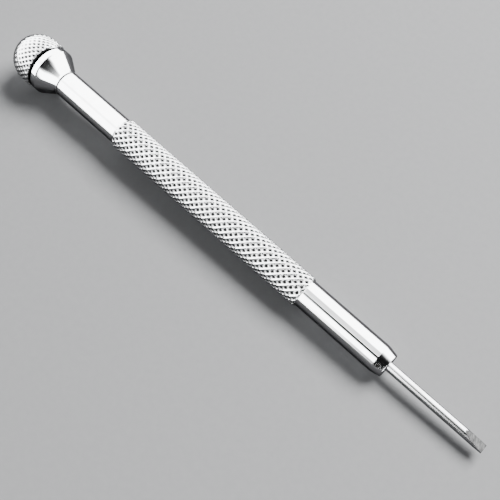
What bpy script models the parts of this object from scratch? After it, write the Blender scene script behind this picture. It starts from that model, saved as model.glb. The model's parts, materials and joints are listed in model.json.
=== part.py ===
"""Watchmaker's screwdriver with a knurled grip, a free-turning finger cap and a clamped blade.

Every piece is turned or drilled about one long axis. It is modelled upright, with local Z along
that axis towards the blade's tip and z = 0 at the seam between handle and tail collar. The empty
"tool_axis" then lays the tool down as it rests on a bench: on the cap's rim and the nose's edge.
Run it with: blender --background --python part.py
"""

import math

import bmesh
import bpy
from mathutils import Matrix, Vector

MM = 0.001

# Driving dimensions, in metres. Stations are distances along the axis from the collar's seam.
BODY_RADIUS = 2.5 * MM
GRIP_RADIUS = 1.132 * BODY_RADIUS
GRIP_START, GRIP_END = 14.8 * MM, 58.45 * MM
GRIP_RAMP = 0.45 * MM
NOSE_START, NOSE_END = 73.8 * MM, 75.65 * MM
NOSE_RADIUS = 0.85 * BODY_RADIUS
EDGE = 0.15 * MM

CAP_RADIUS = 1.84 * BODY_RADIUS
CAP_CENTRE = -7.75 * MM
CAP_FACE = -5.3 * MM
CAP_CHAMFER = 0.2 * MM
COLLAR_RADIUS = 0.965 * CAP_RADIUS
COLLAR_FACE = -4.85 * MM
COLLAR_RIM = 1.15 * MM
FLARE_FILLET = 1.2 * MM

SPIGOT_RADIUS = 1.85 * MM
SPIGOT_LENGTH = 7.0 * MM
SOCKET_LENGTH = 7.4 * MM
STORE_RADIUS = 1.75 * MM
STORE_END = 38.6 * MM
THREAD_GAP = 0.07 * MM

BLADE_RADIUS = 0.8 * MM
BLADE_START, BLADE_TIP = 64.7 * MM, 93.9 * MM
GRIND_LENGTH = 3.7 * MM
TIP_THICKNESS = 0.3 * MM
BLADE_FLAT = 0.6 * MM
BLADE_FLAT_LENGTH = 7.2 * MM
BLADE_ROLL = math.radians(-12.0)
BLADE_BORE_END = 64.1 * MM

SCREW_STATION = 69.2 * MM
SCREW_RADIUS = 0.8 * MM
SCREW_RECESS = 0.18 * MM
SCREW_SLOT = (0.26 * MM, 0.42 * MM)

PIN_RADIUS = 0.8 * MM
PIN_START, PIN_END = -9.6 * MM, 5.3 * MM
CLIP_STATION = 4.5 * MM
CLIP_THICKNESS = 0.24 * MM
CLIP_GROOVE_RADIUS = 0.58 * MM
CLIP_RADIUS = 1.12 * MM
CLIP_RECESS = (1.25 * MM, 4.1 * MM)
WASHER_RADII = (0.9 * MM, 2.9 * MM)
WASHER_RECESS_DEPTH = 0.22 * MM

FIT_GAP = 0.05 * MM
SPARE_OFFSET = 0.84 * MM
SPARE_START = 8.3 * MM

SIDES = 48
FINE_SIDES = 32
DRILL_ANGLE = math.radians(59.0)

# The tool leans on the cap's lower rim and on the edge where the nose starts to taper.
RIM_STATION = CAP_FACE - CAP_CHAMFER
REST_TILT = math.atan((CAP_RADIUS - BODY_RADIUS) / (NOSE_START - RIM_STATION))


def clear_scene():
    for obj in list(bpy.data.objects):
        bpy.data.objects.remove(obj, do_unlink=True)


def new_collection(name):
    collection = bpy.data.collections.new(name)
    bpy.context.scene.collection.children.link(collection)
    return collection


def metal(name, colour, roughness, metallic=1.0):
    material = bpy.data.materials.new(name)
    material.use_nodes = True
    shader = material.node_tree.nodes["Principled BSDF"]
    shader.inputs["Base Color"].default_value = (*colour, 1.0)
    shader.inputs["Roughness"].default_value = roughness
    shader.inputs["Metallic"].default_value = metallic
    return material


def lay_down_empty():
    """The tool's axis as an empty, laid down and lifted so that the tool rests on z = 0."""
    back = CAP_CENTRE * math.cos(REST_TILT) - CAP_RADIUS
    front = BLADE_TIP * math.cos(REST_TILT)
    height = CAP_RADIUS * math.cos(REST_TILT) + RIM_STATION * math.sin(REST_TILT)
    axis = bpy.data.objects.new("tool_axis", None)
    axis.rotation_euler = (0.0, math.pi / 2 + REST_TILT, 0.0)
    axis.location = (-(back + front) / 2, 0.0, height)
    return axis


def arc(centre, radius, start, end, steps):
    """Points on an arc in the profile plane, from angle start to angle end, both included."""
    angles = [start + (end - start) * i / steps for i in range(steps + 1)]
    return [
        (centre[0] + radius * math.cos(a), centre[1] + radius * math.sin(a))
        for a in angles
    ]


def turned(name, profile, material, sides=SIDES):
    """A turned piece from (radius, station) points that run down its outer side, tip end first."""
    closed = all(radius > 0 for radius, _ in (profile[0], profile[-1]))
    count = len(profile)
    edges = [(i, (i + 1) % count) for i in range(count if closed else count - 1)]
    mesh = bpy.data.meshes.new(name)
    mesh.from_pydata([(radius, 0.0, station) for radius, station in profile], edges, [])
    obj = bpy.data.objects.new(name, mesh)
    screw = obj.modifiers.new("turn", "SCREW")
    screw.axis = "Z"
    screw.steps = sides
    screw.render_steps = sides
    screw.use_merge_vertices = True
    screw.merge_threshold = 1e-6
    screw.use_smooth_shade = True
    # Half a step round, so that a flat of the faceted solid faces down and not an edge.
    obj.rotation_euler.z = math.pi / sides
    mesh.materials.append(material)
    return obj


def block(name, size, matrix):
    """A box cutter of this size, with its mesh already in the tool's frame."""
    mesh = bpy.data.meshes.new(name)
    shape = bmesh.new()
    bmesh.ops.create_cube(shape, size=1.0)
    bmesh.ops.scale(shape, vec=size, verts=shape.verts)
    bmesh.ops.transform(shape, matrix=matrix, verts=shape.verts)
    shape.to_mesh(mesh)
    shape.free()
    return bpy.data.objects.new(name, mesh)


def drill(name, radius, depth, matrix, sides=FINE_SIDES):
    """A round cutter of this radius and depth, centred on its matrix and along its Z."""
    mesh = bpy.data.meshes.new(name)
    shape = bmesh.new()
    bmesh.ops.create_cone(
        shape, cap_ends=True, segments=sides, radius1=radius, radius2=radius, depth=depth
    )
    bmesh.ops.transform(shape, matrix=matrix, verts=shape.verts)
    shape.to_mesh(mesh)
    shape.free()
    return bpy.data.objects.new(name, mesh)


def cut(obj, cutter):
    """Cuts obj with a cutter whose mesh is in the tool's frame."""
    cutter.hide_render = True
    cutter.display_type = "WIRE"
    boolean = obj.modifiers.new(f"cut_{cutter.name}", "BOOLEAN")
    boolean.operation = "DIFFERENCE"
    boolean.solver = "EXACT"
    boolean.object = cutter
    return cutter


def handle_body(material):
    """One turned bar: plain, raised grip, plain, tapered nose, drilled from both ends."""
    bore = BLADE_RADIUS + FIT_GAP
    mouth = 0.22 * MM
    socket = SPIGOT_RADIUS + THREAD_GAP
    profile = [
        (bore + mouth, NOSE_END),
        (NOSE_RADIUS - 0.5 * EDGE, NOSE_END),
        (NOSE_RADIUS, NOSE_END - 0.5 * EDGE),
        (BODY_RADIUS, NOSE_START),
        (BODY_RADIUS, GRIP_END),
        (GRIP_RADIUS, GRIP_END - GRIP_RAMP),
        (GRIP_RADIUS, GRIP_START + GRIP_RAMP),
        (BODY_RADIUS, GRIP_START),
        (BODY_RADIUS, EDGE + FIT_GAP),
        (BODY_RADIUS - EDGE, FIT_GAP),
        (socket, FIT_GAP),
        (socket, SOCKET_LENGTH),
        (STORE_RADIUS, SOCKET_LENGTH),
        (STORE_RADIUS, STORE_END),
        (0.0, STORE_END + STORE_RADIUS / math.tan(DRILL_ANGLE)),
    ]
    blind = [
        (0.0, BLADE_BORE_END - bore / math.tan(DRILL_ANGLE)),
        (bore, BLADE_BORE_END),
        (bore, NOSE_END - mouth),
    ]
    obj = turned("handle_body", blind + profile, material)
    reach = BODY_RADIUS + EDGE
    hole = Matrix.Translation((reach / 2, 0.0, SCREW_STATION)) @ Matrix.Rotation(
        math.pi / 2, 4, "Y"
    )
    return obj, [cut(obj, drill("screw_hole_cutter", SCREW_RADIUS + FIT_GAP, reach, hole))]


def flare_profile():
    """The collar's outside, from the seam's edge out to the rim: a fillet, then a straight cone."""
    rim_front = COLLAR_FACE + COLLAR_RIM
    neck = Vector((BODY_RADIUS, -EDGE))
    rim = Vector((COLLAR_RADIUS, rim_front))
    centre = Vector((neck.x + FLARE_FILLET, neck.y))
    # The cone is the tangent from the rim to the fillet's circle.
    towards = rim - centre
    spread = math.acos(FLARE_FILLET / towards.length)
    end = math.atan2(towards.y, towards.x) % (2 * math.pi) - spread
    return arc(centre, FLARE_FILLET, math.pi, end, 6) + [tuple(rim)]


def tail_collar(material):
    """The flared tail piece: rim, cone and a spigot that screws into the handle."""
    bore = PIN_RADIUS + FIT_GAP
    recess_radius, recess_start = CLIP_RECESS
    profile = [
        (recess_radius, SPIGOT_LENGTH),
        (SPIGOT_RADIUS - EDGE, SPIGOT_LENGTH),
        (SPIGOT_RADIUS, SPIGOT_LENGTH - EDGE),
        (SPIGOT_RADIUS, -FIT_GAP),
        (BODY_RADIUS - EDGE, -FIT_GAP),
        *flare_profile(),
        (COLLAR_RADIUS, COLLAR_FACE + EDGE),
        (COLLAR_RADIUS - EDGE, COLLAR_FACE),
        (bore, COLLAR_FACE),
        (bore, recess_start),
        (recess_radius, recess_start),
    ]
    return turned("tail_collar", profile, material), []


def swivel_cap(material):
    """The domed finger cap, with a recess for the washer and a blind bore for its pin."""
    bore = PIN_RADIUS + FIT_GAP
    recess_radius = WASHER_RADII[1] + 2 * FIT_GAP
    recess_end = CAP_FACE - WASHER_RECESS_DEPTH
    dome = arc((0.0, CAP_CENTRE), CAP_RADIUS, 0.0, -math.pi / 2, 12)
    profile = [
        (0.0, PIN_START - FIT_GAP - bore / math.tan(DRILL_ANGLE)),
        (bore, PIN_START - FIT_GAP),
        (bore, recess_end),
        (recess_radius, recess_end),
        (recess_radius, CAP_FACE),
        (CAP_RADIUS - CAP_CHAMFER, CAP_FACE),
        (CAP_RADIUS, CAP_FACE - CAP_CHAMFER),
        *dome[:-1],
        (0.0, CAP_CENTRE - CAP_RADIUS),
    ]
    return turned("swivel_cap", profile, material), []


def pivot_pin(material):
    """The cap's steel pin, with a groove near its end for the retaining ring."""
    chamfer = 0.2 * MM
    half = CLIP_THICKNESS / 2 + FIT_GAP
    profile = [
        (0.0, PIN_END),
        (PIN_RADIUS - chamfer, PIN_END),
        (PIN_RADIUS, PIN_END - chamfer),
        (PIN_RADIUS, CLIP_STATION + half),
        (CLIP_GROOVE_RADIUS, CLIP_STATION + half),
        (CLIP_GROOVE_RADIUS, CLIP_STATION - half),
        (PIN_RADIUS, CLIP_STATION - half),
        (PIN_RADIUS, PIN_START + chamfer),
        (PIN_RADIUS - chamfer, PIN_START),
        (0.0, PIN_START),
    ]
    return turned("pivot_pin", profile, material, FINE_SIDES), []


def ring(name, inner, outer, low, high, material):
    profile = [(inner, high), (outer, high), (outer, low), (inner, low)]
    return turned(name, profile, material, FINE_SIDES)


def thrust_washer(material):
    """The bronze washer that the cap turns on."""
    low = CAP_FACE - WASHER_RECESS_DEPTH + FIT_GAP
    high = COLLAR_FACE - FIT_GAP
    return ring("thrust_washer", *WASHER_RADII, low, high, material), []


def retaining_ring(material):
    """The spring ring in the pin's groove, open on one side so that it snaps on."""
    low = CLIP_STATION - CLIP_THICKNESS / 2
    inner = CLIP_GROOVE_RADIUS + FIT_GAP
    obj = ring("retaining_ring", inner, CLIP_RADIUS, low, low + CLIP_THICKNESS, material)
    opening = Matrix.Translation((0.0, CLIP_RADIUS, CLIP_STATION))
    size = (1.5 * CLIP_GROOVE_RADIUS, 2 * CLIP_RADIUS, 4 * CLIP_THICKNESS)
    return obj, [cut(obj, block("clip_opening_cutter", size, opening))]


def blade(name, material, start, offset=0.0, roll=0.0):
    """A round blade with two flats ground to a chisel tip, and a clamping flat on its shank."""
    tip = start + (BLADE_TIP - BLADE_START)
    chamfer = 0.15 * MM
    profile = [
        (0.0, tip),
        (BLADE_RADIUS, tip),
        (BLADE_RADIUS, start + chamfer),
        (BLADE_RADIUS - chamfer, start),
        (0.0, start),
    ]
    obj = turned(name, profile, material, FINE_SIDES)
    obj.location.y = offset
    place = Matrix.Translation((0.0, offset, 0.0))
    slope = math.atan((BLADE_RADIUS - TIP_THICKNESS / 2) / GRIND_LENGTH)
    size = Vector((2 * BLADE_RADIUS, 4 * BLADE_RADIUS, 2.5 * GRIND_LENGTH))
    cutters = []
    for side in (0, 1):
        # The box's inner face is the ground flat. It passes through the tip's edge.
        edge = Matrix.Translation((TIP_THICKNESS / 2, 0.0, tip))
        lean = Matrix.Rotation(-slope, 4, "Y")
        outwards = Matrix.Translation((size.x / 2, 0.0, 0.0))
        turn = Matrix.Rotation(roll + math.pi * side, 4, "Z")
        matrix = place @ turn @ edge @ lean @ outwards
        cutters.append(cut(obj, block(f"{name}_grind_cutter_{side + 1}", size, matrix)))
    shank_end = start + BLADE_FLAT_LENGTH
    overrun = MM
    flat = Vector((BLADE_RADIUS, 4 * BLADE_RADIUS, BLADE_FLAT_LENGTH + overrun))
    middle = Matrix.Translation((BLADE_FLAT + flat.x / 2, 0.0, shank_end - flat.z / 2))
    cutters.append(cut(obj, block(f"{name}_flat_cutter", flat, place @ middle)))
    return obj, cutters


def blade_set_screw(material):
    """The slotted grub screw under the nose that clamps the blade, its axis along local X."""
    inner = BLADE_FLAT + FIT_GAP
    outer = BODY_RADIUS - SCREW_RECESS
    chamfer = 0.16 * MM
    tip = 0.3 * MM
    profile = [
        (0.0, outer),
        (SCREW_RADIUS - chamfer, outer),
        (SCREW_RADIUS, outer - chamfer),
        (SCREW_RADIUS, inner + tip),
        (SCREW_RADIUS - tip, inner),
        (0.0, inner),
    ]
    obj = turned("blade_set_screw", profile, material, FINE_SIDES)
    obj.rotation_euler = (0.0, math.pi / 2, 0.0)
    obj.location.z = SCREW_STATION
    width, depth = SCREW_SLOT
    size = (2 * depth, 4 * SCREW_RADIUS, width)
    place = Matrix.Translation((outer, 0.0, SCREW_STATION))
    return obj, [cut(obj, block("slot_cutter", size, place))]


def build():
    clear_scene()
    parts = new_collection("watchmaker_screwdriver")
    cutters = new_collection("cutters")
    polished = metal("polished_steel", (0.78, 0.78, 0.79), 0.12)
    knurled = metal("knurled_steel", (0.72, 0.72, 0.73), 0.25)
    hardened = metal("hardened_steel", (0.62, 0.62, 0.64), 0.2)
    bronze = metal("bearing_bronze", (0.66, 0.47, 0.26), 0.35)
    dark = metal("blackened_steel", (0.12, 0.12, 0.13), 0.4)
    spare_roll = math.radians(35.0)
    made = [
        handle_body(knurled),
        tail_collar(polished),
        swivel_cap(knurled),
        pivot_pin(hardened),
        thrust_washer(bronze),
        retaining_ring(dark),
        blade("blade", hardened, BLADE_START, roll=BLADE_ROLL),
        blade_set_screw(dark),
        blade("spare_blade_1", hardened, SPARE_START, SPARE_OFFSET, spare_roll),
        blade("spare_blade_2", hardened, SPARE_START, -SPARE_OFFSET, -spare_roll),
    ]
    axis = lay_down_empty()
    parts.objects.link(axis)
    for obj, helpers in made:
        parts.objects.link(obj)
        obj.parent = axis
        for helper in helpers:
            cutters.objects.link(helper)
            helper.parent = axis


build()
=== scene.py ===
"""Watchmaker's screwdriver: finishes, knurls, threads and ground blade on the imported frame.

Lengths named *_MM are in millimetres along or across the tool's own axis, from the seam between
the handle and the tail collar, towards the blade's tip.
"""

import json
import math

import bmesh
import bpy
from mathutils import Matrix, Vector

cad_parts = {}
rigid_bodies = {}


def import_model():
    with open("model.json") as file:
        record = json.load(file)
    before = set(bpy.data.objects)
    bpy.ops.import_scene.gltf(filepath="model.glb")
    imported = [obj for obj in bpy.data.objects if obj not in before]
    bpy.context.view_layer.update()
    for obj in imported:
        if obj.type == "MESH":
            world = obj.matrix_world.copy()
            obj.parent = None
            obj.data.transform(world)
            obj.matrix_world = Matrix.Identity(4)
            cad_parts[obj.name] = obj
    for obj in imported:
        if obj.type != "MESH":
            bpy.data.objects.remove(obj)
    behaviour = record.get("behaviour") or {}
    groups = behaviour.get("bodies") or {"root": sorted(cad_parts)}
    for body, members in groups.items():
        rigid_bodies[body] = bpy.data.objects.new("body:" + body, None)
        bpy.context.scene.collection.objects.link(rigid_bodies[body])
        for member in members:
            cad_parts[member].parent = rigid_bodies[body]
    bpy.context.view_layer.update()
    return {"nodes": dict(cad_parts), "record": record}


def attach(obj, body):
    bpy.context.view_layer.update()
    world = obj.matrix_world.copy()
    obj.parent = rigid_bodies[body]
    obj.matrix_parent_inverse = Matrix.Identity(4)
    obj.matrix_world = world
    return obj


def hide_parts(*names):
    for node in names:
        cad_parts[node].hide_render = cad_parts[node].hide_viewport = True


MM = 0.001

# The knurls: teeth round the piece, rows of teeth along it, depth of the crossing grooves. A
# tooth is a grid of cells across each way. One family of ridges stands a little lower.
GRIP_TEETH, GRIP_ROWS, GRIP_DEPTH_MM = 14, 33, 0.34
CAP_TEETH, CAP_ROWS, CAP_DEPTH_MM = 26, 4.5, 0.27
TOOTH_CELLS = 6
TOOTH_RISE = [0.0, 0.3, 0.86, 1.0]
CROSS_RIDGE = 0.82

# Stations and radii that the frame's boxes don't give.
GRIP_START_MM, GRIP_END_MM = 14.8, 58.45
GRIP_RAMP_MM, CAP_RIM_RAMP_MM, CAP_CROWN_RAMP_MM = 0.5, 0.36, 3.3
BODY_RADIUS_MM = 2.5
NOSE_START_MM = 73.8
NOSE_RADIUS_MM = 2.125
SOCKET_END_MM, STORE_END_MM = 7.4, 38.6
SOCKET_RADIUS_MM, STORE_RADIUS_MM = 1.92, 1.75
BLADE_BORE_END_MM, BLADE_BORE_MM = 64.1, 0.85
SCREW_STATION_MM, SCREW_HOLE_MM, SCREW_HOLE_DEPTH_MM = 69.2, 0.85, 2.4
RIM_MM, FLARE_SWELL_MM, NECK_MM = 1.15, 0.022, -0.55
THREAD_PITCH_MM, THREAD_DEPTH_MM = 0.5, 0.09
THREAD_STEP_MM = THREAD_PITCH_MM / 8
SPIGOT_RADIUS_MM = 1.85
PIN_RADIUS_MM, PIN_END_MM = 0.85, -9.65
WASHER_RECESS_MM, WASHER_RECESS_DEPTH_MM = 3.0, 0.22
RING_POCKET_MM, RING_POCKET_END_MM = 1.25, 4.1
CAP_CENTRE_MM, CAP_CHAMFER_MM, SWIVEL_GAP_MM = -7.75, 0.1, -5.2
GRIND_MM, TIP_THICKNESS_MM = 3.7, 0.3
FLAT_MM, FLAT_LENGTH_MM = 0.6, 7.2
BLADE_ROLL = math.radians(-12.0)
EDGE_MM, FINE_EDGE_MM, ROUNDING_MM, COLLAR_ROUNDING_MM = 0.15, 0.08, 0.05, 0.06
BORE_MOUTH_MM, SOCKET_MOUTH_MM = 0.22, 0.12
SEAM_MM, GRIP_STEP_MM, SCREW_MARGIN_MM = 0.05, 0.06, 1.2
# How far each drill's point reaches past the end of its bore.
BORE_POINT_MM, STORE_POINT_MM, PIN_POINT_MM = 0.5, 1.05, 0.51

DRILL_SIDES, COLLAR_SIDES, BLADE_SIDES = 64, 192, 144
DOME_STEPS, FLARE_STEPS = 20, 12
CREASE_DEGREES, COLLAR_CREASE_DEGREES, BLADE_CREASE_DEGREES = 32.0, 40.0, 20.0

# Colours that the metals share.
# BLACK is the painted shade in the knurls' grooves and in the gap under the cap, and the oil on the
# collar's seam.
BLACK = (0.006, 0.006, 0.006, 1.0)
# The ground flats' two colours are a painted reflection: far darker than the steel, so the flats
# mirror the white tent as mid grey.
GRIND_REFLECTION_DARK, GRIND_REFLECTION_PALE = (0.012, 0.012, 0.012, 1.0), (0.085, 0.084, 0.082, 1.0)

# The studio tent: how bright it looks in the metal, the share of it that lights the table, and
# how strongly its dark shapes count.
SKY, SKY_FILL, SHADE = 12.0, 0.0435, 1.05
SKY_COLOUR = (0.965, 0.98, 1.0, 1.0)
KEY_PLACE_MM, KEY_SIZE_MM, KEY_WATTS = (110.0, 430.0, 480.0), (460.0, 300.0), 30.0
TABLE_HALF_WIDTH, TABLE_GRAIN = 1.5, 900.0
TABLE_DARK, TABLE_PALE = (0.130, 0.131, 0.133, 1.0), (0.150, 0.151, 0.153, 1.0)
TABLE_MIRRORED = (0.02, 0.02, 0.021, 1.0)

# The camera: where it stands round the tool, the station it looks at, how far off, and its lens.
CAMERA_AZIMUTH, CAMERA_ELEVATION = math.radians(43.9), math.radians(63.8)
AIM_MM, CAMERA_DISTANCE_MM, CAMERA_LEFT_MM, CAMERA_DOWN_MM = 46.6, 130.49, 0.434, 0.494
SENSOR_MM, LENS_MM = 36.0, 57.11


class Wire:
    """A value running through a material. Plain arithmetic on it adds the Math nodes."""

    def __init__(self, recipe, socket):
        self.recipe, self.socket = recipe, socket

    def math(self, operation, *others):
        return self.recipe.calc(operation, self, *others)

    def __add__(self, other):
        return self.math("ADD", other)

    def __sub__(self, other):
        return self.math("SUBTRACT", other)

    def __rsub__(self, other):
        return self.recipe.calc("SUBTRACT", other, self)

    def __mul__(self, other):
        return self.math("MULTIPLY", other)

    def __truediv__(self, other):
        return self.math("DIVIDE", other)

    def __pow__(self, other):
        return self.math("POWER", other)

    def __abs__(self):
        return self.math("ABSOLUTE")

    __radd__ = __add__
    __rmul__ = __mul__

    def over(self, other):
        """Angle of the point (other, self)."""
        return self.math("ARCTAN2", other)

    def above(self, low, high):
        """0 below low, 1 above high, with a smooth step between."""
        settings = {"interpolation_type": "SMOOTHSTEP"}
        sockets = {"Value": self, "From Min": low, "From Max": high}
        return self.recipe.add("ShaderNodeMapRange", settings, sockets)["Result"]

    def near(self, centre, half_width, edge=0.3):
        """1 within half_width of the centre and 0 well outside it."""
        return 1.0 - (abs(self - centre) / half_width).above(1.0 - edge, 1.0 + edge)

    def capped(self):
        return self.recipe.add("ShaderNodeClamp", {}, {"Value": self})["Result"]


class Outputs:
    """The outputs of a node, read as wires by name."""

    def __init__(self, recipe, node):
        self.recipe, self.node = recipe, node

    def __getitem__(self, name):
        live = [s for s in self.node.outputs if s.enabled and s.name == name]
        return Wire(self.recipe, live[0])


class Recipe:
    """One material as a recipe of nodes, ending in its surface shader."""

    def __init__(self, name, holder=None):
        self.material = holder or bpy.data.materials.new(name)
        self.material.use_nodes = True
        self.tree = self.material.node_tree
        self.tree.nodes.clear()

    def calc(self, operation, *values):
        """One Math node on wires and plain numbers."""
        node = self.add("ShaderNodeMath", {"operation": operation}, dict(enumerate(values)))
        return node["Value"]

    def add(self, kind, settings=None, sockets=None):
        """A node of this kind. Settings come first, then its sockets' values or wires."""
        node = self.tree.nodes.new(kind)
        for name, value in (settings or {}).items():
            setattr(node, name, value)
        for name, value in (sockets or {}).items():
            if isinstance(name, int):
                socket = node.inputs[name]
            else:
                socket = [s for s in node.inputs if s.enabled and s.name == name][0]
            if isinstance(value, Wire):
                self.tree.links.new(value.socket, socket)
            else:
                socket.default_value = value
        return Outputs(self, node)

    def tool_point(self):
        """The point in the tool's own frame in millimetres, z along the axis."""
        place = tool_frame()
        sockets = {
            "Vector": self.add("ShaderNodeTexCoord")["Object"],
            "Location": place.to_translation(),
            "Rotation": place.to_euler(),
            "Scale": (MM, MM, MM),
        }
        return self.add("ShaderNodeMapping", {"vector_type": "TEXTURE"}, sockets)["Vector"]

    def split(self, vector):
        parts = self.add("ShaderNodeSeparateXYZ", {}, {"Vector": vector})
        return parts["X"], parts["Y"], parts["Z"]

    def joined(self, x, y, z):
        return self.add("ShaderNodeCombineXYZ", {}, {"X": x, "Y": y, "Z": z})["Vector"]

    def noise(self, vector, scale, detail=3.0, roughness=0.55):
        sockets = {"Vector": vector, "Scale": scale, "Detail": detail, "Roughness": roughness}
        return self.add("ShaderNodeTexNoise", {}, sockets)["Fac"]

    def mixed(self, amount, low, high):
        """One colour turning into another. Mix has its colour sockets at 6 and 7."""
        sockets = {0: amount, 6: low, 7: high}
        return self.add("ShaderNodeMix", {"data_type": "RGBA"}, sockets)["Result"]

    def bump(self, height, depth):
        sockets = {"Height": height, "Distance": depth, "Strength": 1.0}
        return self.add("ShaderNodeBump", {}, sockets)["Normal"]

    def surface(self, sockets):
        shader = self.add("ShaderNodeBsdfPrincipled", {}, sockets)["BSDF"]
        self.add("ShaderNodeOutputMaterial", {}, {"Surface": shader})
        return self.material


def joint(name):
    found = frame["record"]["behaviour"]["joints"]
    return next(j for j in found if j["name"] == name)


def tool_frame():
    """The tool's own frame: z along its axis towards the tip, origin at the collar's seam."""
    swivel = joint("cap_swivel")
    along = Vector(swivel["axis"]).normalized()
    side = Vector((0.0, 1.0, 0.0))
    out = side.cross(along).normalized()
    seam = Vector(swivel["pos_m"]) - along * CAP_CENTRE_MM * MM
    turn = Matrix((out, side, along)).transposed().to_4x4()
    return Matrix.Translation(seam) @ turn


def span(node):
    """First and last station of a frame node along the tool's axis, in millimetres."""
    into = tool_frame().inverted()
    stations = [(into @ v.co).z / MM for v in frame["nodes"][node].data.vertices]
    return min(stations), max(stations)


def reach(node):
    """Largest distance of a frame node from the tool's axis, in millimetres."""
    into = tool_frame().inverted()
    points = [into @ v.co for v in frame["nodes"][node].data.vertices]
    return max(math.hypot(p.x, p.y) for p in points) / MM


def show(mesh, name):
    obj = bpy.data.objects.new(name, mesh)
    bpy.context.scene.collection.objects.link(obj)
    return obj


def plain_mesh(obj, name):
    """The object's evaluated shape as a plain mesh, with the object itself removed."""
    graph = bpy.context.evaluated_depsgraph_get()
    graph.update()
    mesh = bpy.data.meshes.new_from_object(obj.evaluated_get(graph), depsgraph=graph)
    mesh.name = name
    bpy.data.objects.remove(obj)
    return mesh


def baked(shape, name):
    """A bmesh turned into a mesh and freed."""
    mesh = bpy.data.meshes.new(name)
    shape.to_mesh(mesh)
    shape.free()
    return mesh


def arc(centre, radius, start, end, steps):
    angles = [start + (end - start) * i / steps for i in range(steps + 1)]
    return [(centre[0] + radius * math.cos(a), centre[1] + radius * math.sin(a)) for a in angles]


def softened(profile, radius, closed=False, steps=3):
    """Rounds each corner of a profile with a small arc, as a file or a tumbler leaves it."""
    points = [Vector(p) for p in profile]
    count = len(points)
    out = []
    for i, here in enumerate(points):
        if not closed and i in (0, count - 1):
            out.append(tuple(here))
            continue
        before, after = points[i - 1], points[(i + 1) % count]
        to_before, to_after = before - here, after - here
        turn = math.pi - to_before.angle(to_after, 0.0)
        if turn < math.radians(12.0):
            out.append(tuple(here))
            continue
        reach_out = radius * math.tan(turn / 2)
        reach_out = min(reach_out, 0.45 * to_before.length, 0.45 * to_after.length)
        first = here + to_before.normalized() * reach_out
        last = here + to_after.normalized() * reach_out
        for k in range(steps + 1):
            t = k / steps
            bend = first * (1 - t) ** 2 + here * 2 * t * (1 - t) + last * t**2
            out.append(tuple(bend))
    return out


def held(profile, margin=0.03):
    """Adds a point close to each real corner, so a long face next to it keeps a straight shine."""
    points = [Vector(p) for p in profile]
    out = []
    for i, here in enumerate(points):
        out.append(tuple(here))
        if i + 1 == len(points):
            break
        step = points[i + 1] - here
        if step.length < 4 * margin:
            continue
        ends = []
        for other, place_on in ((i - 1, margin), (i + 2, step.length - margin)):
            if not 0 <= other < len(points):
                continue
            beside = (here - points[other]) if other < i else (points[other] - points[i + 1])
            if beside.length > 1e-9 and step.angle(beside) > math.radians(5.0):
                ends.append(tuple(here + step.normalized() * place_on))
        out.extend(ends)
    return out


def lathe(profile, sides, wave=None):
    """A turned surface from (radius, station) points in mm, run down its outer side.

    wave(angle, radius, station) moves a point out from the axis, which cuts a thread.
    """
    shape = bmesh.new()
    rings = []
    for radius, station in held(profile):
        if radius < 1e-6:
            rings.append([shape.verts.new((0.0, 0.0, station * MM))])
            continue
        ring = []
        for k in range(sides):
            angle = 2 * math.pi * k / sides
            out = radius + (wave(angle, radius, station) if wave else 0.0)
            x, y = out * math.cos(angle), out * math.sin(angle)
            ring.append(shape.verts.new((x * MM, y * MM, station * MM)))
        rings.append(ring)
    for upper, lower in zip(rings, rings[1:]):
        for k in range(sides):
            n = (k + 1) % sides
            if len(upper) == 1 and len(lower) == 1:
                break
            if len(upper) == 1:
                shape.faces.new((upper[0], lower[k], lower[n]))
            elif len(lower) == 1:
                shape.faces.new((upper[k], lower[0], upper[n]))
            else:
                shape.faces.new((upper[k], lower[k], lower[n], upper[n]))
    return shape


def finished(shape, name, keep_edges=CREASE_DEGREES):
    """A bmesh in the tool's frame as a mesh: welded, outward, smooth except on real edges."""
    bmesh.ops.remove_doubles(shape, verts=shape.verts, dist=2e-7)
    bmesh.ops.dissolve_degenerate(shape, edges=shape.edges, dist=1e-7)
    bmesh.ops.recalc_face_normals(shape, faces=shape.faces)
    mesh = baked(shape, name)
    for face in mesh.polygons:
        face.use_smooth = True
    mesh.set_sharp_from_angle(angle=math.radians(keep_edges))
    return mesh


def merged(*shapes):
    """Several bmeshes as one."""
    whole = bmesh.new()
    for shape in shapes:
        scrap = baked(shape, "scrap")
        whole.from_mesh(scrap)
        bpy.data.meshes.remove(scrap)
    return whole


def at_full_height(shape):
    """Marks a plain shape as standing at a knurl's full height, so no painted groove shade shows on
    it.
    """
    layer = shape.verts.layers.float.new("relief")
    for vert in shape.verts:
        vert[layer] = 1.0
    return shape


def tooth():
    """One diamond of the knurl, a unit long and wide: a pit between two pairs of ridges."""
    half = TOOTH_CELLS // 2
    shape = bmesh.new()
    grid = {}
    for i in range(-half, half + 1):
        for j in range(-half, half + 1):
            height = max(TOOTH_RISE[abs(i)], CROSS_RIDGE * TOOTH_RISE[abs(j)])
            x, y = (i + j) / (4 * half), (i - j) / (4 * half)
            grid[i, j] = shape.verts.new((x, y, height))
    for i in range(-half, half):
        for j in range(-half, half):
            corners = [(i, j), (i, j + 1), (i + 1, j + 1), (i + 1, j)]
            shape.faces.new([grid[c] for c in corners])
    return show(baked(shape, "knurl_tooth"), "knurl_tooth")


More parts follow.
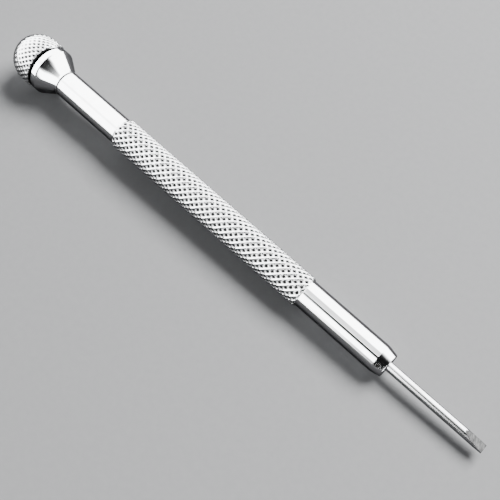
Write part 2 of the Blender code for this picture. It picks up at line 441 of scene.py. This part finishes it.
class Workshop:
    """The nodes of one Geometry Nodes tree, with field arithmetic by name."""

    def __init__(self, name, inputs):
        self.tree = bpy.data.node_groups.new(name, "GeometryNodeTree")
        face = self.tree.interface
        face.new_socket("Geometry", in_out="OUTPUT", socket_type="NodeSocketGeometry")
        self.ids = {}
        for label, kind in inputs.items():
            made = face.new_socket(label, in_out="INPUT", socket_type=f"NodeSocket{kind}")
            self.ids[label] = made.identifier
        self.given = self.tree.nodes.new("NodeGroupInput")
        self.out = self.tree.nodes.new("NodeGroupOutput")

    def __getitem__(self, label):
        return Wire(self, self.given.outputs[label])

    add = Recipe.add
    calc = Recipe.calc
    split = Recipe.split
    joined = Recipe.joined

    def finish(self, geometry):
        self.tree.links.new(geometry.socket, self.out.inputs[0])
        return self.tree


def knurl_tree():
    """Staggered rows of diamond teeth, wrapped round a bar and on over a dome."""
    shop = Workshop(
        "diamond_knurl",
        {
            "Tooth": "Object",
            "Finish": "Material",
            "Half Rows": "Int",
            "Teeth Round": "Int",
            "Row Pitch": "Float",
            "Length": "Float",
            "Straight Length": "Float",
            "Root Radius": "Float",
            "Depth": "Float",
            "Near Ramp": "Float",
            "Far Ramp": "Float",
            "Far Level": "Float",
        },
    )
    around = shop["Teeth Round"]
    lattice = shop.add(
        "GeometryNodeMeshGrid",
        {},
        {"Size X": 1.0, "Size Y": 1.0, "Vertices X": shop["Half Rows"], "Vertices Y": around},
    )["Mesh"]
    index = shop.add("GeometryNodeInputIndex")["Index"]
    row = (index / around).math("FLOOR")
    column = index - row * around
    stagger = row.math("MODULO", 2.0) * 0.5
    centre = shop.joined(row * 0.5, column + stagger, 0.0)
    placed = shop.add(
        "GeometryNodeSetPosition", {}, {"Geometry": lattice, "Position": centre}
    )["Geometry"]
    shape = shop.add("GeometryNodeObjectInfo", {}, {"Object": shop["Tooth"]})["Geometry"]
    stood = shop.add("GeometryNodeInstanceOnPoints", {}, {"Points": placed, "Instance": shape})
    real = shop.add("GeometryNodeRealizeInstances", {}, {"Geometry": stood["Instances"]})
    point = shop.add("GeometryNodeInputPosition")["Position"]
    x, y, z = shop.split(point)
    run = (x * shop["Row Pitch"]).math("MAXIMUM", 0.0).math("MINIMUM", shop["Length"])
    rise_in = (run / shop["Near Ramp"]).math("MINIMUM", 1.0)
    rise_out = ((shop["Length"] - run) / shop["Far Ramp"]).math("MINIMUM", 1.0)
    level = shop["Far Level"]
    faded = 1.0 - (1.0 - z) * rise_out
    relief = (faded * level + z * rise_out * (1.0 - level)) * rise_in
    # The height that the finish reads for its painted groove shade: low in the grooves, 1 on the
    # crests and where the teeth fade out.
    clean = 1.0 - (1.0 - z) * (rise_in * (1.0 - level) + level) * rise_out
    straight = shop["Straight Length"]
    bend = (run - straight).math("MAXIMUM", 0.0) / shop["Root Radius"]
    lift = shop["Root Radius"] + relief * shop["Depth"]
    out = lift * bend.math("COSINE")
    along = run.math("MINIMUM", straight) + lift * bend.math("SINE")
    turn = y / around * (2 * math.pi)
    wrapped = shop.joined(out * turn.math("COSINE"), out * turn.math("SINE"), along)
    marked = shop.add(
        "GeometryNodeStoreNamedAttribute",
        {"data_type": "FLOAT", "domain": "POINT"},
        {"Geometry": real["Geometry"], "Name": "relief", "Value": clean},
    )["Geometry"]
    formed = shop.add(
        "GeometryNodeSetPosition", {}, {"Geometry": marked, "Position": wrapped}
    )["Geometry"]
    welded = shop.add(
        "GeometryNodeMergeByDistance", {}, {"Geometry": formed, "Distance": 4e-7}
    )["Geometry"]
    whole = shop.add("GeometryNodeRealizeInstances", {}, {"Geometry": welded})["Geometry"]
    dressed = shop.add(
        "GeometryNodeSetMaterial", {}, {"Geometry": whole, "Material": shop["Finish"]}
    )["Geometry"]
    shop.finish(dressed)
    return shop


def knurl(name, values):
    """A knurled band as a plain mesh, standing on z = 0 and rising with z."""
    shop = knurl_tree()
    host = show(bpy.data.meshes.new(name), name)
    modifier = host.modifiers.new("knurl", "NODES")
    modifier.node_group = shop.tree
    for label, value in values.items():
        modifier[shop.ids[label]] = value
    mesh = plain_mesh(host, name)
    shape = bmesh.new()
    shape.from_mesh(mesh)
    bpy.data.meshes.remove(mesh)
    return shape


def moved(shape, matrix):
    bmesh.ops.transform(shape, matrix=matrix, verts=shape.verts)
    return shape


def place(mesh, name, material, body, *nodes, slot=None):
    """Lays a finished mesh down with the tool, ties it to its body and hides the frame nodes it
    stands in for.
    """
    mesh.transform(tool_frame())
    mesh.materials.clear()
    mesh.materials.append(material)
    obj = show(mesh, name)
    if nodes:
        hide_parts(*nodes)
    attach(obj, body)
    return obj


def drilled(mesh, radius, centre, depth, name):
    """A cross hole cut into a mesh that is still in the tool's frame."""
    tool = bmesh.new()
    bmesh.ops.create_cone(
        tool,
        cap_ends=True,
        segments=DRILL_SIDES,
        radius1=radius * MM,
        radius2=radius * MM,
        depth=depth * MM,
    )
    matrix = Matrix.Translation(Vector(centre) * MM) @ Matrix.Rotation(math.pi / 2, 4, "Y")
    bmesh.ops.transform(tool, matrix=matrix, verts=tool.verts)
    cutter = show(baked(at_full_height(tool), "drill"), "drill")
    work = show(mesh, name)
    boolean = work.modifiers.new("drill", "BOOLEAN")
    boolean.operation, boolean.solver, boolean.object = "DIFFERENCE", "EXACT", cutter
    out = plain_mesh(work, name)
    bpy.data.objects.remove(cutter)
    out.set_sharp_from_angle(angle=math.radians(CREASE_DEGREES))
    return out


def stations(radius, start, end, step):
    """Points at one radius along the axis, close enough together to carry a thread."""
    count = max(1, round(abs(end - start) / step))
    return [(radius, start + (end - start) * k / count) for k in range(count + 1)]


def thread_wave(inner, outer, way, start, end):
    """A fine thread: moves points between these radii along a helix from start to end, in or
    out by way, and fades away over half a turn at each end."""

    def wave(angle, radius, station):
        if not inner <= radius <= outer + 1e-6:
            return 0.0
        fade = min(1.0, max(0.0, min(station - start, end - station) / (THREAD_PITCH_MM / 2)))
        turns = station / THREAD_PITCH_MM - angle / (2 * math.pi)
        return way * THREAD_DEPTH_MM * fade * (0.5 + 0.5 * math.cos(2 * math.pi * turns))

    return wave


def make_handle(material):
    """The bar with its knurled grip, tapered nose, store and blade bore."""
    start, end = span("handle_body")
    outer = reach("handle_body")
    root = outer - GRIP_DEPTH_MM
    sides = GRIP_TEETH * TOOTH_CELLS * 2
    length = GRIP_END_MM - GRIP_START_MM
    values = {
        "Tooth": bpy.data.objects["knurl_tooth"],
        "Half Rows": 2 * GRIP_ROWS + 1,
        "Teeth Round": GRIP_TEETH,
        "Row Pitch": length / GRIP_ROWS * MM,
        "Length": length * MM,
        "Straight Length": length * MM,
        "Root Radius": root * MM,
        "Depth": GRIP_DEPTH_MM * MM,
        "Near Ramp": GRIP_RAMP_MM * MM,
        "Far Ramp": GRIP_RAMP_MM * MM,
        "Far Level": 0.0,
    }
    grip = moved(knurl("grip", values), Matrix.Translation((0.0, 0.0, GRIP_START_MM * MM)))
    body = BODY_RADIUS_MM
    front = [
        (0.0, BLADE_BORE_END_MM - BORE_POINT_MM),
        (BLADE_BORE_MM, BLADE_BORE_END_MM),
        (BLADE_BORE_MM, end - BORE_MOUTH_MM),
        (BLADE_BORE_MM + BORE_MOUTH_MM, end),
        (NOSE_RADIUS_MM - FINE_EDGE_MM, end),
        (NOSE_RADIUS_MM, end - FINE_EDGE_MM),
        (body, NOSE_START_MM),
        (body, SCREW_STATION_MM + SCREW_MARGIN_MM),
        (body, SCREW_STATION_MM - SCREW_MARGIN_MM),
        (body, GRIP_END_MM + GRIP_STEP_MM),
        (root, GRIP_END_MM),
    ]
    rear = [
        (root, GRIP_START_MM),
        (body, GRIP_START_MM - GRIP_STEP_MM),
        (body, start + EDGE_MM),
        (body - EDGE_MM, start),
        (SOCKET_RADIUS_MM + SOCKET_MOUTH_MM, start),
        *stations(SOCKET_RADIUS_MM, start + SOCKET_MOUTH_MM, SOCKET_END_MM, THREAD_STEP_MM),
        (STORE_RADIUS_MM, SOCKET_END_MM),
        (STORE_RADIUS_MM, STORE_END_MM),
        (0.0, STORE_END_MM + STORE_POINT_MM),
    ]
    thread = thread_wave(1.9, SOCKET_RADIUS_MM, 1.0, start + 0.3, SOCKET_END_MM - 0.5)
    nose_end = lathe(softened(front, ROUNDING_MM), sides)
    tail_end = lathe(softened(rear, ROUNDING_MM), sides, thread)
    mesh = finished(merged(grip, at_full_height(merged(nose_end, tail_end))), "handle")
    mesh = drilled(
        mesh, SCREW_HOLE_MM, (1.6, 0.0, SCREW_STATION_MM), SCREW_HOLE_DEPTH_MM, "handle"
    )
    place(mesh, "handle", material, "handle", "handle_body", slot="knurled_steel")


def make_cap(material):
    """The domed finger cap, knurled on its band and lower dome and polished over its crown."""
    pole, face = span("swivel_cap")
    outer = reach("swivel_cap")
    root = outer - CAP_DEPTH_MM
    sides = CAP_TEETH * TOOTH_CELLS * 2
    edge = face - CAP_CHAMFER_MM
    band = edge - CAP_CENTRE_MM
    pitch = 2 * math.pi * outer / CAP_TEETH
    length = CAP_ROWS * pitch
    values = {
        "Tooth": bpy.data.objects["knurl_tooth"],
        "Half Rows": int(2 * CAP_ROWS) + 1,
        "Teeth Round": CAP_TEETH,
        "Row Pitch": pitch * MM,
        "Length": length * MM,
        "Straight Length": band * MM,
        "Root Radius": root * MM,
        "Depth": CAP_DEPTH_MM * MM,
        "Near Ramp": CAP_RIM_RAMP_MM * MM,
        "Far Ramp": CAP_CROWN_RAMP_MM * MM,
        "Far Level": 1.0,
    }
    turn = Matrix.Rotation(math.pi, 4, "X")
    band_shape = moved(
        knurl("cap_knurl", values), Matrix.Translation((0.0, 0.0, edge * MM)) @ turn
    )
    latitude = (length - band) / root
    crown = arc((0.0, CAP_CENTRE_MM), outer, -latitude, -math.pi / 2, DOME_STEPS)
    crown[-1] = (0.0, pole)
    inside = [
        (0.0, PIN_END_MM - PIN_POINT_MM),
        (PIN_RADIUS_MM, PIN_END_MM),
        (PIN_RADIUS_MM, face - WASHER_RECESS_DEPTH_MM),
        (WASHER_RECESS_MM, face - WASHER_RECESS_DEPTH_MM),
        (WASHER_RECESS_MM, face),
        (root - FINE_EDGE_MM, face),
        (root, edge),
    ]
    bare = merged(lathe(softened(inside, ROUNDING_MM), sides), lathe(crown, sides))
    mesh = finished(merged(band_shape, at_full_height(bare)), "cap")
    place(mesh, "cap", material, "cap", "swivel_cap", slot="knurled_steel")


def make_collar(material):
    """The flared tail collar with its rim and threaded spigot."""
    face, end = span("tail_collar")
    outer = reach("tail_collar")
    body = BODY_RADIUS_MM
    rim_front = face + RIM_MM
    neck = Vector((body, NECK_MM))
    flare = []
    foot, brow = neck, Vector((outer, rim_front))
    side = (brow - foot).orthogonal().normalized()
    side = side if side.y > 0 else -side
    for t in [0.002, 0.02] + [k / FLARE_STEPS for k in range(1, FLARE_STEPS)]:
        flare.append(tuple(foot.lerp(brow, t) + side * FLARE_SWELL_MM * 4 * t * (1 - t)))
    shell = [
        (RING_POCKET_MM, end),
        (SPIGOT_RADIUS_MM - EDGE_MM, end),
        *stations(SPIGOT_RADIUS_MM, end - EDGE_MM, -SEAM_MM, THREAD_STEP_MM),
        (body - FINE_EDGE_MM, -SEAM_MM),
        (body, -SEAM_MM - FINE_EDGE_MM),
        (body, neck.y + 0.01),
        tuple(neck),
        *flare,
        (outer, rim_front),
        (outer, face + EDGE_MM),
        (outer - EDGE_MM, face),
        (PIN_RADIUS_MM, face),
        (PIN_RADIUS_MM, RING_POCKET_END_MM),
        (RING_POCKET_MM, RING_POCKET_END_MM),
    ]
    profile = softened(shell, COLLAR_ROUNDING_MM, closed=True)
    thread = thread_wave(1.7, SPIGOT_RADIUS_MM, -1.0, 0.35, end - 0.3)
    shape = lathe(profile + profile[:1], COLLAR_SIDES, thread)
    mesh = finished(shape, "collar", COLLAR_CREASE_DEGREES)
    place(mesh, "collar", material, "collar", "tail_collar", slot="polished_steel")


def sliced(shape, point, normal):
    """Cuts away the side of a solid that the normal points to, and closes the cut."""
    everything = shape.verts[:] + shape.edges[:] + shape.faces[:]
    cut = bmesh.ops.bisect_plane(
        shape, geom=everything, dist=1e-9, plane_co=point, plane_no=normal, clear_outer=True
    )
    edges = [e for e in cut["geom_cut"] if isinstance(e, bmesh.types.BMEdge)]
    bmesh.ops.contextual_create(shape, geom=edges)


def make_blade(material):
    """The round blade, with a flat for its clamping screw and two flats ground to a chisel tip."""
    start, tip = span("blade")
    radius = reach("blade")
    flat_end = start + FLAT_LENGTH_MM

    def screw_flat(angle, r, station):
        over = r * math.cos(angle) - FLAT_MM
        if station > flat_end or over <= 0.0:
            return 0.0
        return -over / math.cos(angle)

    profile = [(0.0, tip), (radius, tip)]
    profile += [(radius, flat_end + 0.3), (radius, flat_end + 0.02), (radius, flat_end)]
    profile += [(radius, start + EDGE_MM), (radius - EDGE_MM, start), (0.0, start)]
    shape = lathe(profile, BLADE_SIDES, screw_flat)
    shape.normal_update()
    slope = math.atan((radius - TIP_THICKNESS_MM / 2) / GRIND_MM)
    normals = []
    for side in (0.0, math.pi):
        turn = Matrix.Rotation(BLADE_ROLL + side, 3, "Z")
        normals.append(turn @ Vector((math.cos(slope), 0.0, math.sin(slope))))
        point = turn @ Vector((TIP_THICKNESS_MM / 2, 0.0, tip)) * MM
        point.z = tip * MM
        sliced(shape, point, normals[-1])
    shape.normal_update()
    mark = shape.faces.layers.float.new("ground")
    for face in shape.faces:
        if any(abs(face.normal.dot(normal)) > 0.999 for normal in normals):
            face[mark] = 1.0
    mesh = finished(shape, "driver_blade", BLADE_CREASE_DEGREES)
    place(mesh, "driver_blade", material, "driver_blade", "blade", slot="hardened_steel")


def metal(name, clean, dull, rough, line_depth, tarnish=0.5, knurled=False, ground=False):
    """Turned and polished metal: lathe lines round it, cloudy polish, hairline scratches, specks.

    A knurled piece gets painted shade in its grooves, and a ground blade has coarser lines on its
    flats.
    Painted shade blackens the gap under the cap, most of all on its lower side away from the light,
    and old oil blackens the collar's seam.
    """
    recipe = Recipe(name)
    point = recipe.tool_point()
    x, y, z = recipe.split(point)
    lines = recipe.noise(recipe.joined(0.0, 0.0, z), 11.0, 6.0, 0.75)
    cloud = recipe.noise(point, 0.45, 4.0, 0.6)
    specks = recipe.noise(point, 7.0, 3.0, 0.7).above(0.66, 0.74)
    drawn = recipe.noise(recipe.joined(x * 5.0, y * 5.0, z * 0.35), 1.3, 2.0)
    hairline = 1.0 - (abs(drawn - 0.5) / 0.006).capped()
    across = recipe.noise(recipe.joined(x * 0.6, y * 0.6, z * 3.0 + x * 0.8), 2.3, 3.0)
    nick = (1.0 - (abs(across - 0.42) / 0.004).capped()) * cloud.above(0.5, 0.62)

    radius = (x * x + y * y) ** 0.5
    # Painted shade in the gap under the cap, faded on its upper side (+y), where the light falls
    # in.
    gap_shade_and_seam_oil = z.near(SWIVEL_GAP_MM - 0.2, 0.62, 0.1) * (1.0 - radius.above(4.37, 4.48))
    gap_shade_and_seam_oil = gap_shade_and_seam_oil * (1.0 - 0.9 * y.above(1.2, 2.5))

    stain = cloud.above(0.42, 0.72) * tarnish
    colour = recipe.mixed(stain, clean, dull)
    colour = recipe.mixed(specks * 0.35, colour, tuple(c * 0.4 for c in dull[:3]) + (1.0,))
    roughness = rough + 0.03 * stain + 0.05 * hairline + 0.12 * specks + 0.02 * lines
    height = lines * line_depth - 0.5 * (hairline + nick) * line_depth
    if knurled:
        # Painted shade: the knurl's grooves are blackened by their depth, and the dark's edge
        # wavers with noise.
        relief = recipe.add("ShaderNodeAttribute", {"attribute_name": "relief"})["Fac"]
        groove_shade_noise = recipe.noise(point, 1.7, 3.0)
        crest = relief.above(0.3, 0.96 + 0.12 * groove_shade_noise) ** 1.6
        colour = recipe.mixed(crest, BLACK, colour)
        roughness = roughness + 0.3 * (1.0 - crest) + 0.12 * (1.0 - relief.above(0.9, 0.999))
    seam = z.near(-0.02, 0.13, 0.1) * radius.above(2.1, 2.3) * 0.8
    # The collar's seam is dark with oil; here it joins the painted gap shade.
    gap_shade_and_seam_oil = gap_shade_and_seam_oil.math("MAXIMUM", seam)
    colour = recipe.mixed(gap_shade_and_seam_oil, colour, BLACK)
    roughness = roughness + 0.4 * gap_shade_and_seam_oil
    if ground:
        flat = recipe.add("ShaderNodeAttribute", {"attribute_name": "ground"})["Fac"]
        grit = recipe.noise(recipe.joined(x * 0.2, y * 0.25, z + y * 0.3), 4.2, 5.0, 0.7)
        height = height + flat * grit * line_depth * 5.0
        roughness = roughness + flat * (0.16 + 0.12 * grit)
        # Painted reflection: the flats take a near-black colour, mixed along the grit's grind
        # lines, so they mirror the tent as mid grey.
        grind_reflection = recipe.mixed(grit.above(0.25, 0.75), GRIND_REFLECTION_DARK, GRIND_REFLECTION_PALE)
        colour = recipe.mixed(flat, colour, grind_reflection)
    normal = recipe.bump(height, MM)
    sockets = {"Base Color": colour, "Metallic": 1.0, "Roughness": roughness, "Normal": normal}
    return recipe.surface(sockets)


def make_finishes():
    """The finish for each of the record's material slots."""
    nickel, grey = (0.83, 0.83, 0.825, 1.0), (0.66, 0.655, 0.64, 1.0)
    return {
        "knurled_steel": metal("knurled_nickel", nickel, grey, 0.045, 0.00035, 0.5, knurled=True),
        "polished_steel": metal("polished_nickel", nickel, grey, 0.035, 0.0004, 0.3),
        "hardened_steel": metal(
            "blade_steel", (0.7, 0.7, 0.7, 1.0), (0.45, 0.44, 0.43, 1.0), 0.12, 0.0009, ground=True
        ),
        "bearing_bronze": metal(
            "bronze", (0.72, 0.47, 0.25, 1.0), (0.36, 0.2, 0.1, 1.0), 0.26, 0.002, 0.8
        ),
        "blackened_steel": metal(
            "oil_blacked_steel", (0.06, 0.06, 0.065, 1.0), (0.16, 0.13, 0.11, 1.0), 0.3, 0.0015
        ),
    }


def dress_frame(finishes):
    """Gives the frame's own nodes the same finishes, slot by slot."""
    for node in frame["nodes"].values():
        for slot in node.material_slots:
            name = slot.material.name.split(".")[0]
            slot.material = finishes[name]


def make_floor():
    """A plain pale table top, which the polished steel mirrors darker than it looks."""
    recipe = Recipe("pale_table")
    point = recipe.add("ShaderNodeTexCoord")["Object"]
    colour = recipe.mixed(recipe.noise(point, TABLE_GRAIN, 4.0), TABLE_DARK, TABLE_PALE)
    mirrored = recipe.add("ShaderNodeLightPath")["Is Glossy Ray"]
    colour = recipe.mixed(mirrored, colour, TABLE_MIRRORED)
    material = recipe.surface({"Base Color": colour, "Roughness": 0.8, "Specular IOR Level": 0.02})
    shape = bmesh.new()
    bmesh.ops.create_grid(shape, x_segments=1, y_segments=1, size=TABLE_HALF_WIDTH)
    mesh = baked(shape, "table_top")
    mesh.materials.append(material)
    floor = show(mesh, "table_top")


def make_key_light():
    """A soft box behind the tool. It lights the table, and the steel mirrors only the tent."""
    light = bpy.data.lights.new("key", "AREA")
    light.shape = "RECTANGLE"
    light.size, light.size_y = (side * MM for side in KEY_SIZE_MM)
    light.energy = KEY_WATTS
    obj = bpy.data.objects.new("key", light)
    bpy.context.scene.collection.objects.link(obj)
    obj.location = Vector(KEY_PLACE_MM) * MM
    obj.visible_glossy = False
    obj.rotation_euler = (-obj.location).to_track_quat("-Z", "Y").to_euler()


def sky_direction(recipe):
    """The sky's direction in the tool's own terms: the lean towards the tip, and the turn
    about the axis from straight up towards +Y, both in degrees."""
    x, y, z = recipe.split(recipe.add("ShaderNodeTexCoord")["Generated"])
    lean = x.math("ARCSINE") * (180 / math.pi)
    turn = y.over(z) * (180 / math.pi)
    return lean, turn


def make_sky():
    """A white studio tent. Its maker, dark, leans in over the nose and the blade.

    Each shape in it is given as a density: the tent's light falls by e for each unit.
    """
    world = bpy.data.worlds.new("studio_tent")
    bpy.context.scene.world = world
    recipe = Recipe("studio_tent", world)
    lean, turn = sky_direction(recipe)

    # A dark line along the top of the bar, with a softer haze beside it.
    slit = turn.near(-25.0, 8.5 + 14.0 * lean.above(-1.0, 6.0))
    slit = slit * (0.3 + 4.9 * lean.above(-16.0, -5.0)) * (1.0 - lean.above(7.0, 12.0))
    haze = turn.near(2.0, 15.0) * 1.5 * lean.above(-22.0, -12.0) * (1.0 - lean.above(8.0, 14.0))
    # The maker's side, low down, and the arms, over the bar's front.
    low_band = turn.near(-84.0, 13.0) * 5.0 * lean.above(-12.0, 4.0) * (1.0 - lean.above(6.0, 12.0))
    arms = turn.near(-42.0, 34.0) * 4.0 * lean.above(-4.0, 6.0) * (1.0 - lean.above(8.0, 14.0))

    # The maker's chest, with a rounded upper edge, and the head above it.
    off = turn + 18.0
    edge = 23.4 - off * off / 740.0
    chest = 6.8 * (1.0 - turn.above(-12.0, 38.0)) * lean.above(6.0, 13.0)
    chest = chest * (1.0 - (lean - edge).above(-1.2, 1.2))
    along = ((lean - 26.0) / 7.0).capped()
    head = (6.2 - 5.2 * along) * turn.near(-17.0, 27.0 - 15.0 * along, 0.45)
    head = head * lean.above(20.0, 23.0) * (1.0 - lean.above(38.0, 46.0))

    # The dark beyond the blade's tip.
    end = 5.0 * lean.above(38.0, 46.0)
    density = slit + haze + low_band + arms + end + chest.math("MAXIMUM", head)
    ray = recipe.add("ShaderNodeLightPath")
    density = density * SHADE * (1.0 - ray["Is Camera Ray"])
    scattered = ray["Is Diffuse Ray"]
    strength = (0.0 - density).math("EXPONENT") * SKY * (1.0 - (1.0 - SKY_FILL) * scattered)
    sockets = {"Color": SKY_COLOUR, "Strength": strength}
    back = recipe.add("ShaderNodeBackground", {}, sockets)["Background"]
    recipe.add("ShaderNodeOutputWorld", {}, {"Surface": back})


def make_camera():
    right = Vector((math.cos(CAMERA_AZIMUTH), math.sin(CAMERA_AZIMUTH), 0.0))
    level = Vector((right.y, -right.x, 0.0))
    back = level * math.cos(CAMERA_ELEVATION)
    back.z = math.sin(CAMERA_ELEVATION)
    up = back.cross(right)
    aim = tool_frame() @ Vector((0.0, 0.0, AIM_MM * MM))
    data = bpy.data.cameras.new("camera")
    data.sensor_width, data.lens = SENSOR_MM, LENS_MM
    data.clip_start, data.clip_end = 0.001, 10.0
    camera = bpy.data.objects.new("camera", data)
    bpy.context.scene.collection.objects.link(camera)
    aside = right * CAMERA_LEFT_MM + up * CAMERA_DOWN_MM
    camera.location = aim + (back * CAMERA_DISTANCE_MM - aside) * MM
    camera.rotation_euler = back.to_track_quat("Z", "Y").to_euler()
    bpy.context.scene.camera = camera


def corners(box):
    return [list(corner) for corner in box]


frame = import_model()
finishes = make_finishes()
dress_frame(finishes)
tooth_piece = tooth()
make_handle(finishes["knurled_steel"])
make_cap(finishes["knurled_steel"])
bpy.data.objects.remove(tooth_piece)
make_collar(finishes["polished_steel"])
make_blade(finishes["hardened_steel"])
make_floor()
make_sky()
make_key_light()
make_camera()
